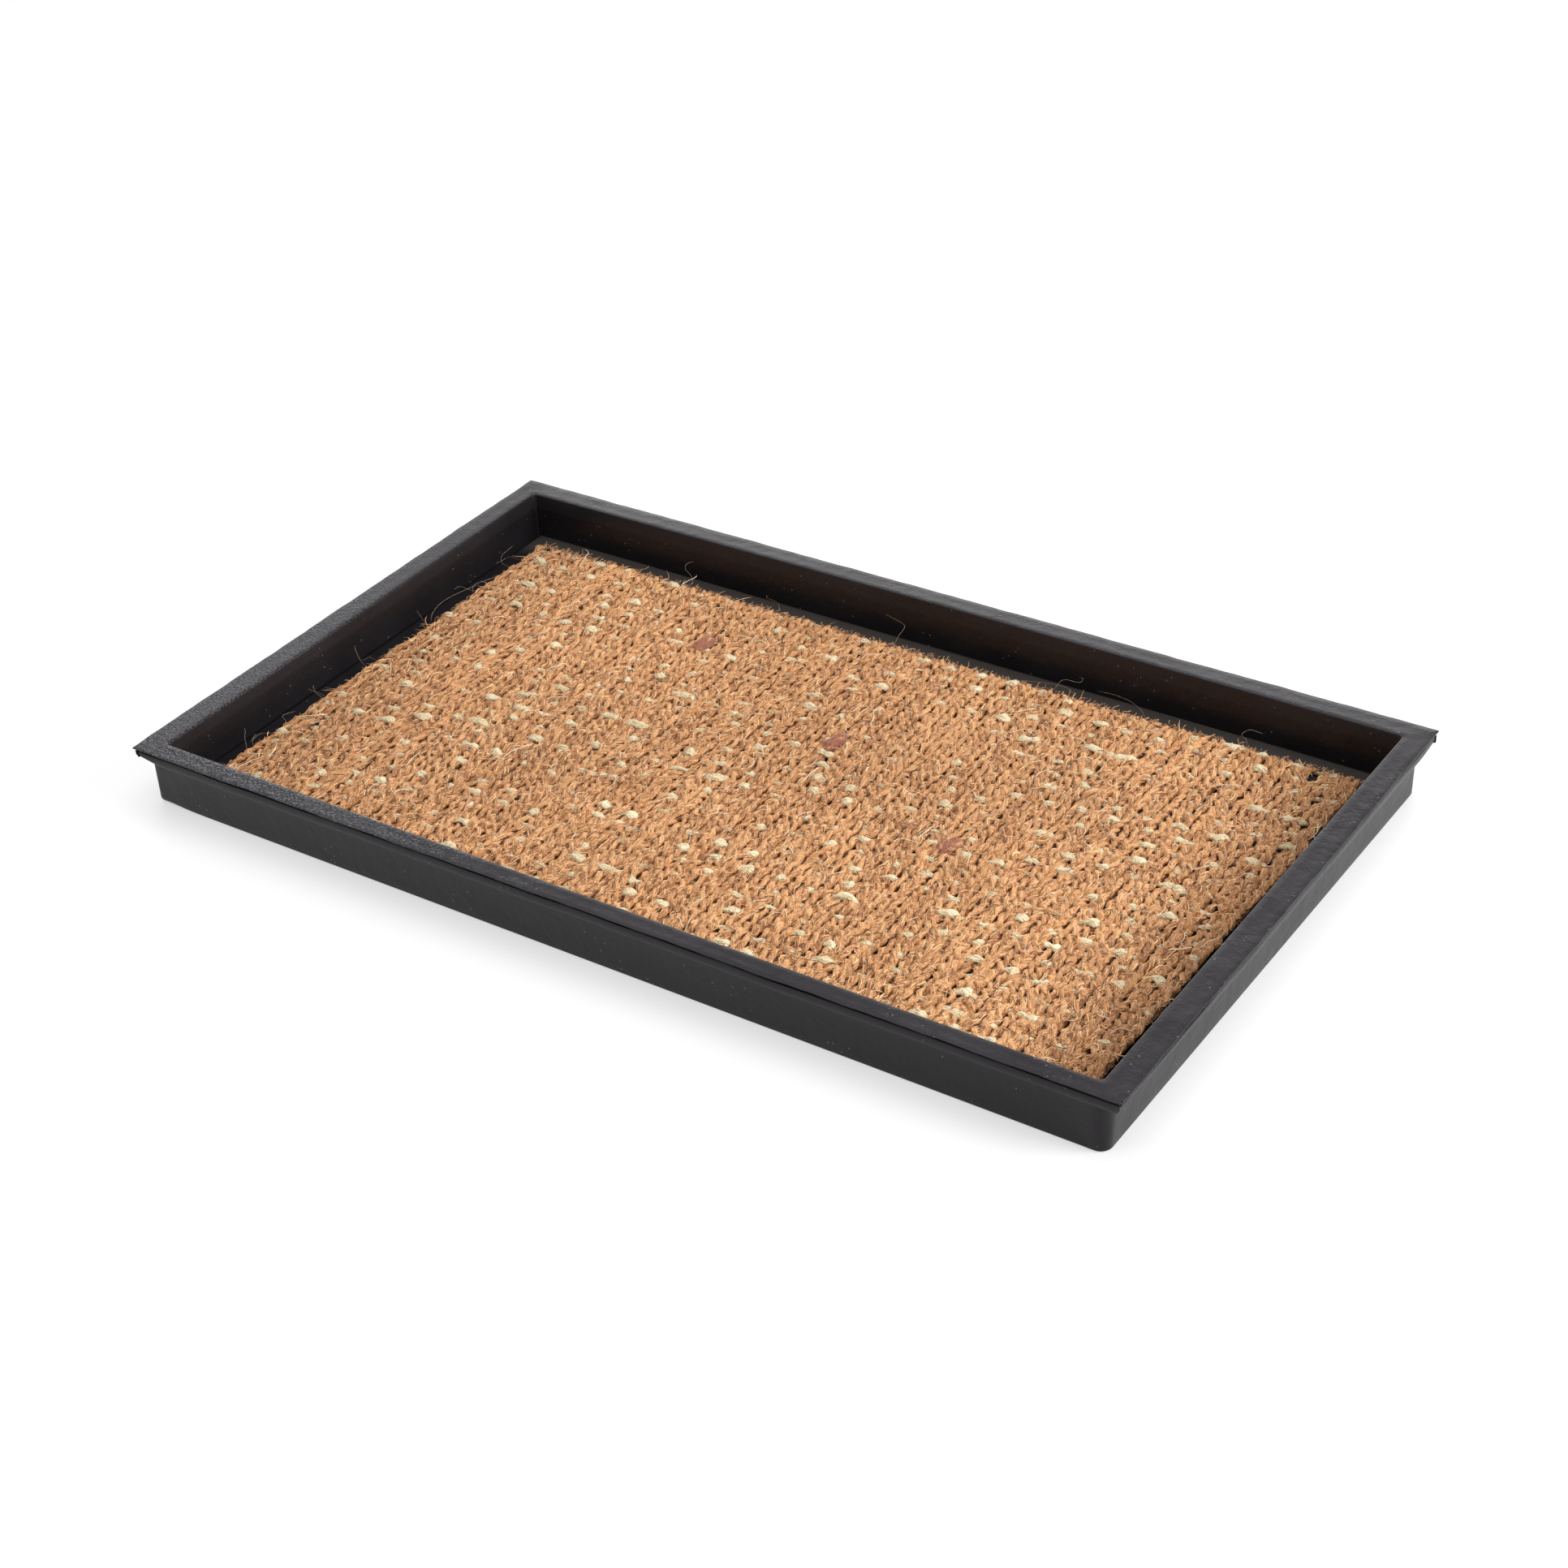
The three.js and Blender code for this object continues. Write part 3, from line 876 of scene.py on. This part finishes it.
FIBRE_SIDES = 3
FIBRE_TIP = 0.4  # a fibre's thickness at its ends, against its middle
WOUND_COUNT = 4900  # of each of these colours
WOUND_COLOURS = (
    ("tan_fibres_1", (0.61, 0.295, 0.119, 1)),
    ("tan_fibres_2", (0.67, 0.337, 0.140, 1)),
    ("tan_fibres_3", (0.73, 0.384, 0.165, 1)),
    ("light_fibres", (0.82, 0.49, 0.226, 1)),
    ("pale_fibres", (0.82, 0.56, 0.30, 1)),
    ("brown_fibres", (0.30, 0.115, 0.036, 1)),
    ("dark_fibres", (0.19, 0.070, 0.022, 1)),
)
WOUND_STATIONS, WOUND_STRIDE = 7, 0.85
CROSSING_FIBRES = (
    ("crossing_fibres", 4500, (0.82, 0.49, 0.24, 1)),
    # the brown ones are dark fibres that also stand in, as painted shade, for small shadow specks
    ("brown_fibre_shade_specks", 3200, (0.20, 0.075, 0.024, 1)),
)
IVORY_FIBRE_TRIES, IVORY_FIBRE_STATIONS = 420, 6  # tries along each ivory yarn; the sunk ones are left out
STRAY_COUNT = 260
WISP_PLACES, WISP_FIBRES, WISP_SCATTER = ((-113, 93), (12, 41), (118, -15)), 120, (2.3, 3.2, 0.25)
FRINGE_PER_END, FRINGE_STEP = 12, 0.4  # fibres at each coir yarn's end, and their spacing at the short sides
CURLS_LEFT, CURLS_RIGHT = (-122, -96, -60, -20, 32, 78, 118), (-80, 40)  # places along y
CURLS_BACK = (-165, -90, -10, 70, 95, 150, 215)  # places along x
CURL_REACH = 9  # how far a curl may stand out over the floor


def make_fibres(name, paths, radius, colour):
    """Thin tubes along free paths (fibre, station, 3), tapering to their tips, as one piece."""
    along = unit(np.gradient(paths, axis=1))
    across = unit(np.cross(along, np.array([0.13, 0.21, 0.97])))
    upward = np.cross(across, along)
    taper = np.ones(paths.shape[1])
    taper[[0, -1]] = FIBRE_TIP
    thick = radius[:, None] * taper
    points = tube_points(paths, across, upward, thick, thick, FIBRE_SIDES)
    faces = tube_faces(len(paths), paths.shape[1], FIBRE_SIDES)
    piece = make_piece(name, on_mat(points), faces, fibre_material(name, colour), "insert")
    return piece


def free_paths(starts, headings, lengths, rises, curl, stations, rng):
    """Curved paths. rises bounds how high their middles stand, curl is the bend sideways."""
    each = (len(starts), 1, 1)
    starts, headings = np.array(starts)[:, None], unit(np.array(headings))[:, None]
    t = np.linspace(0, 1, stations)[None, :, None]
    sideways = unit(np.cross(headings, UP))
    reach = lengths[:, None, None]
    rise = rng.uniform(*rises, each)
    bend = curl * rng.normal(0, 1, each)
    sway = 0.35 * curl * rng.normal(0, 1, each)
    phase = rng.uniform(0, TAU, each)
    paths = starts + headings * reach * t
    paths = paths + sideways * reach * (bend * t * t + sway * np.sin(TAU * t + phase) * t)
    paths[..., 2] += (rise * (4 * t * (1 - t)))[..., 0]
    return paths


def surface_starts(lines, count, pitches, rng):
    """Random points on top of the plies, and headings turned away from the plies there."""
    stacked = join(lines)
    tube = rng.integers(0, len(stacked), count * 2)
    station = rng.integers(2, stacked.shape[1] - 3, count * 2)
    middle = stacked[tube, station]
    along = unit(stacked[tube, station + 1] - stacked[tube, station - 1])
    high = np.argsort(-(middle[:, 2] + rng.normal(0, 0.6, len(middle))))[:count]
    angle = rng.uniform(-1.0, 1.0, count)
    place = middle[high]
    place[:, 0] += PLY_ACROSS * np.sin(angle)
    place[:, 2] += PLY_UP * np.cos(angle)
    yaw, pitch = rng.uniform(0, TAU, count), rng.uniform(*pitches, count)
    x, y, z = along[high].T
    c, s = np.cos(yaw), np.sin(yaw)
    return place, np.stack([x * c - y * s, x * s + y * c, z * 0.4 + np.tan(pitch)], -1)


def make_wound_fibres(name, lines, swells, colour, rng):
    """Fibres that follow the plies: wound round them, with loose ends that lift off."""
    stacked, swell = join(lines), join(swells)
    each, stations = (WOUND_COUNT, 1), WOUND_STATIONS
    tube = rng.integers(0, len(stacked), each)
    start = rng.uniform(0, stacked.shape[1] - 2 - stations * WOUND_STRIDE, each)
    step = WOUND_STRIDE * rng.uniform(0.55, 1.15, each)
    place = start + step * np.arange(stations)
    before = place.astype(int)
    share = (place - before)[..., None]
    line = stacked[tube, before] * (1 - share) + stacked[tube, before + 1] * share
    size = swell[tube, before]
    t = np.linspace(-1, 1, stations)
    angle = rng.uniform(0.12, 0.88, each) * math.pi
    angle = angle + rng.normal(0, 0.65, each) * t
    loose_end = t * rng.choice([-1, 1], each) > 0
    loose = rng.gamma(1.2, 0.34, each) * np.where(loose_end, t * t, 0)
    lift = 0.05 + loose + np.clip(rng.normal(0, 0.14, each), 0, None)
    line[..., 0] += (PLY_ACROSS * size + lift) * np.cos(angle)
    line[..., 2] += (PLY_UP * size + lift) * np.sin(angle)
    radius = 0.10 + rng.gamma(1.5, 0.06, WOUND_COUNT).clip(0, 0.26)
    return make_fibres(name, line, radius, colour)


def make_ivory_fibres(lines, sizes):
    """Pale fibres that follow the ivory yarns where they come up."""
    rng = stream("ivory_fibres")
    stations, paths = IVORY_FIBRE_STATIONS, []
    for line, size in zip(join(lines), join(sizes)):
        for start in rng.integers(0, len(line) - stations - 2, IVORY_FIBRE_TRIES):
            if line[start + stations // 2, 2] < IVORY_LOW + 0.5:
                continue
            span = slice(start, start + stations)
            part = line[span].copy()
            angle = rng.uniform(0.1, 0.9) * math.pi + rng.normal(0, 0.5) * np.linspace(-1, 1, stations)
            lift = 0.1 + rng.gamma(1.2, 0.22) * np.linspace(0, 1, stations) ** 2
            part[:, 1] += (size[span, 0] + lift) * np.cos(angle)
            part[:, 2] += (size[span, 1] + lift) * np.sin(angle)
            paths.append(part)
    radius = rng.uniform(0.09, 0.17, len(paths))
    return make_fibres("ivory_fibres", np.array(paths), radius, (0.85, 0.75, 0.51, 1))


def make_crossing_fibres(name, lines, count, colour):
    """Short loose fibres that lie across the plies at all angles."""
    rng = stream(name)
    starts, headings = surface_starts(lines, count, (-0.05, 0.10), rng)
    lengths = 1.5 + rng.gamma(1.6, 1.8, count)
    paths = free_paths(starts, headings, lengths, (0.0, 0.5), curl=0.35, stations=5, rng=rng)
    paths[..., 2] = np.clip(paths[..., 2], 3.0, 6.6)
    return make_fibres(name, paths, rng.uniform(0.12, 0.23, count), colour)


def make_stray_fibres(lines):
    """Longer pale fibres that curl out of the cloth."""
    rng = stream("stray_fibres")
    starts, headings = surface_starts(lines, STRAY_COUNT, (0.05, 0.4), rng)
    lengths = rng.uniform(5, 15, STRAY_COUNT)
    paths = free_paths(starts, headings, lengths, (0.2, 1.2), curl=0.5, stations=9, rng=rng)
    top = 5.6 + rng.uniform(0, 1.6, STRAY_COUNT)
    paths[..., 2] = np.minimum(paths[..., 2], top[:, None])
    radius = rng.uniform(0.12, 0.22, STRAY_COUNT)
    return make_fibres("pale_stray_fibres", paths, radius, (0.82, 0.71, 0.50, 1))


def make_red_wisps():
    """Three small wisps of redder fibre caught in the yarns."""
    rng = stream("red_wisps")
    starts, headings = [], []
    for x, y in WISP_PLACES:
        for _ in range(WISP_FIBRES):
            scatter = rng.normal(0, 1, 3) * WISP_SCATTER
            starts.append(scatter + (x, y - 3, 4.3))
            headings.append((rng.normal(0, 0.16), 1, 0.02))
    count = len(starts)
    lengths = rng.uniform(5, 11, count)
    paths = free_paths(starts, headings, lengths, (0.1, 0.5), curl=0.12, stations=6, rng=rng)
    return make_fibres("red_wisps", paths, rng.uniform(0.14, 0.24, count), (0.37, 0.135, 0.075, 1))


def make_fringe():
    """Short fibres at the coir yarns' cut ends and along the mat's short sides."""
    rng = stream("fringe")
    starts, headings = [], []
    for yarn in YARNS:
        for side in (-1, 1):
            x = coir_x(yarn, np.array([side * HALF_Y]))[0]
            for _ in range(FRINGE_PER_END):
                starts.append((
                    x + rng.normal(0, 1.5),
                    side * (HALF_Y - rng.uniform(2, 5)),
                    rng.uniform(1.0, 4.4),
                ))
                headings.append((rng.normal(0, 0.5), side, rng.normal(0.0, 0.25)))
    for side in (-1, 1):
        for y in np.arange(-HALF_Y + 3, HALF_Y - 3, FRINGE_STEP):
            starts.append((
                side * (HALF_X - rng.uniform(0.8, 3.5)) + 0.5 * SHIFT_RIGHT,
                y + rng.normal(0, 0.4),
                rng.uniform(1.0, 4.4),
            ))
            headings.append((side * rng.uniform(0.0, 0.7), rng.choice([-1, 1]), rng.normal(0.0, 0.2)))
    count = len(starts)
    lengths = rng.gamma(2.2, 0.75, count) + 0.8
    paths = free_paths(starts, headings, lengths, (-0.2, 0.5), curl=0.35, stations=5, rng=rng)
    paths[..., 2] = np.clip(paths[..., 2], 0.3, 7)
    return make_fibres("edge_fringe", paths, rng.uniform(0.10, 0.17, count), (0.60, 0.30, 0.12, 1))


def make_edge_curls():
    """A few long wiry fibres that spring out over the tray's floor, mostly on the left."""
    rng = stream("edge_curls")
    starts, headings = [], []
    for side, y in [(-1, y) for y in CURLS_LEFT] + [(1, y) for y in CURLS_RIGHT]:
        for _ in range(2):
            starts.append((side * (HALF_X - 1), y + rng.normal(0, 5), 3.5))
            headings.append((side, rng.normal(0, 0.9), rng.uniform(0.1, 0.9)))
    for x in CURLS_BACK:
        starts.append((x + rng.normal(0, 8), HALF_Y - 1, 3.5))
        headings.append((rng.normal(0, 0.9), 1, rng.uniform(0.1, 0.9)))
    count = len(starts)
    lengths = rng.uniform(9, 24, count)
    paths = free_paths(starts, headings, lengths, (0.3, 2.0), curl=0.8, stations=12, rng=rng)
    for axis, half in enumerate((HALF_X, HALF_Y)):
        paths[..., axis] = np.clip(paths[..., axis], -half - CURL_REACH, half + CURL_REACH)
    return make_fibres("edge_curls", paths, rng.uniform(0.065, 0.10, count), (0.36, 0.25, 0.17, 1))


# ---- Backing ----

BACKING_ROWS, BACKING_COLUMNS = 60, 110
RAGGED_X, RAGGED_Y = 0.0035, 0.006  # how uneven the edges are, against the half size
RIPPLE = 0.08


def make_backing():
    """The black coat under the mat, as a thin closed sheet with a slightly ragged edge."""
    u, v = np.meshgrid(np.linspace(-1, 1, BACKING_COLUMNS), np.linspace(-1, 1, BACKING_ROWS))
    half = (BACKING_HIGH - BACKING_LOW) / 2
    middle = (BACKING_HIGH + BACKING_LOW) / 2
    edge_x = 1 + RAGGED_X * np.sin(31 * v + 2) * np.abs(u) ** 8
    edge_y = 1 + RAGGED_Y * np.sin(47 * u + 1) * np.abs(v) ** 8
    x, y = middle[0] + half[0] * u * edge_x, middle[1] + half[1] * v * edge_y
    ripple = RIPPLE * np.sin(x / 9) * np.sin(y / 7)
    upper = np.stack([x, y, BACKING_HIGH[2] + ripple], -1).reshape(-1, 3)
    lower = np.stack([x, y, np.full_like(x, BACKING_LOW[2])], -1).reshape(-1, 3)
    grid = np.arange(u.size).reshape(u.shape)
    corners = [grid[:-1, :-1], grid[:-1, 1:], grid[1:, 1:], grid[1:, :-1]]
    top = np.stack(corners, -1).reshape(-1, 4)
    bottom = top[:, ::-1] + len(upper)
    edge = join([grid[0, :-1], grid[:-1, -1], grid[-1, :0:-1], grid[:0:-1, 0]])
    following = np.roll(edge, -1)
    rim = np.stack([edge + len(upper), following + len(upper), following, edge], -1)
    points, faces = join([upper, lower]), [top, bottom, rim]
    piece = make_piece("latex_backing", points, faces, LATEX, "insert", sharp_angle=SHARP_ANGLE)
    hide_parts("mat_backing")
    return piece


# ---- Camera, light and floor, in metres ----

CAMERA_PLACE = (0.783, -1.0812, 0.8857)
CAMERA_TARGET = (0.0125, -0.0113, 0.018)
CAMERA_ROLL = math.radians(-3.68)
CAMERA_LENS, CAMERA_SENSOR, CAMERA_NEAR = 67.3, 36, 0.05
# A bright backdrop at the far left, a pale horizon all round, and a dim room. Each fades between two
# values: of a direction's height, or of how far it faces the backdrop.
BACKDROP_DIRECTION = (-0.3, 0.954, 0.0)
BACKDROP_TOP, BACKDROP_SIDES, HORIZON_TOP = (0.585, 0.485), (0.68, 0.875), (0.30, 0.12)
BACKDROP_LIGHT, ROOM_LIGHT = 2.75, 0.20
HORIZON_SHARE = 0.27  # of the backdrop's light
SOFTBOXES = (  # name, place, size, watts
    ("right_softbox", (2.2, 0.7, 1.2), (1.4, 1.2), 70),
    ("top_softbox", (-0.25, -0.1, 2.6), (3.2, 3.2), 77),
)
FLOOR_HALF, FLOOR_TONE, FLOOR_GLOW = 30.0, 0.40, 0.53


def aimed(place, target, roll=0.0):
    """A camera's or lamp's matrix at a place, facing a target."""
    place = Vector(place)
    facing = (Vector(target) - place).to_track_quat("-Z", "Y").to_matrix().to_4x4()
    return Matrix.Translation(place) @ facing @ Matrix.Rotation(roll, 4, "Z")


def make_camera():
    data = bpy.data.cameras.new("camera")
    data.lens, data.sensor_width, data.clip_start = CAMERA_LENS, CAMERA_SENSOR, CAMERA_NEAR
    camera = add_object("camera", data)
    camera.matrix_world = aimed(CAMERA_PLACE, CAMERA_TARGET, CAMERA_ROLL)
    bpy.context.scene.camera = camera


def make_softbox(name, place, size, watts):
    data = bpy.data.lights.new(name, "AREA")
    data.shape = "RECTANGLE"
    data.size, data.size_y = size
    data.energy = watts
    add_object(name, data).matrix_world = aimed(place, (0, 0, 0))


def make_world():
    """The studio round the tray: light that depends only on its direction."""
    n = Nodes(bpy.data.worlds.new("studio"), "BACKGROUND")
    direction = n.node("TexCoord").outputs["Generated"]
    height = n.split(direction)[2]
    facing = n.node(
        "VectorMath", {0: direction, 1: BACKDROP_DIRECTION}, operation="DOT_PRODUCT"
    ).outputs["Value"]
    backdrop = n.product(
        n.ranged(height, BACKDROP_TOP, smooth=True), n.ranged(facing, BACKDROP_SIDES, smooth=True)
    )
    horizon = n.product(n.ranged(height, HORIZON_TOP, smooth=True), HORIZON_SHARE)
    strength = n.ranged(n.total(horizon, backdrop), (0.0, 1.0), ROOM_LIGHT, BACKDROP_LIGHT)
    n.set(Color=grey(1.0), Strength=strength)
    bpy.context.scene.world = n.owner


def make_floor():
    n = material_nodes("pale_floor")
    n.set(Base_Color=grey(FLOOR_TONE), Roughness=0.6, Specular_IOR_Level=0.2)
    n.set(Emission_Color=grey(1.0), Emission_Strength=FLOOR_GLOW)
    mesh = bpy.data.meshes.new("floor")
    corners = [(x * FLOOR_HALF, y * FLOOR_HALF, 0) for x, y in ((-1, -1), (1, -1), (1, 1), (-1, 1))]
    mesh.from_pydata(corners, [], [(0, 1, 2, 3)])
    mesh.materials.append(n.owner)
    add_object("floor", mesh)


def make_studio():
    bpy.context.scene.view_settings.view_transform = "Standard"
    make_world()
    for softbox in SOFTBOXES:
        make_softbox(*softbox)
    make_floor()


# ---- Everything together ----

make_camera()
make_studio()
make_tray()
backing = make_backing()
coir_pieces, ply_lines, ply_swells = zip(*[make_coir_group(group) for group in range(COIR_GROUPS)])
ivory_pieces, ivory_lines, ivory_sizes = zip(*[make_ivory_group(group) for group in range(IVORY_GROUPS)])
fibre_pieces = [
    *[
        make_wound_fibres(name, ply_lines, ply_swells, colour, stream("wound_fibres", index))
        for index, (name, colour) in enumerate(WOUND_COLOURS)
    ],
    *[make_crossing_fibres(name, ply_lines, count, colour) for name, count, colour in CROSSING_FIBRES],
    make_ivory_fibres(ivory_lines, ivory_sizes),
    make_stray_fibres(ply_lines),
    make_red_wisps(),
    make_fringe(),
    make_edge_curls(),
]
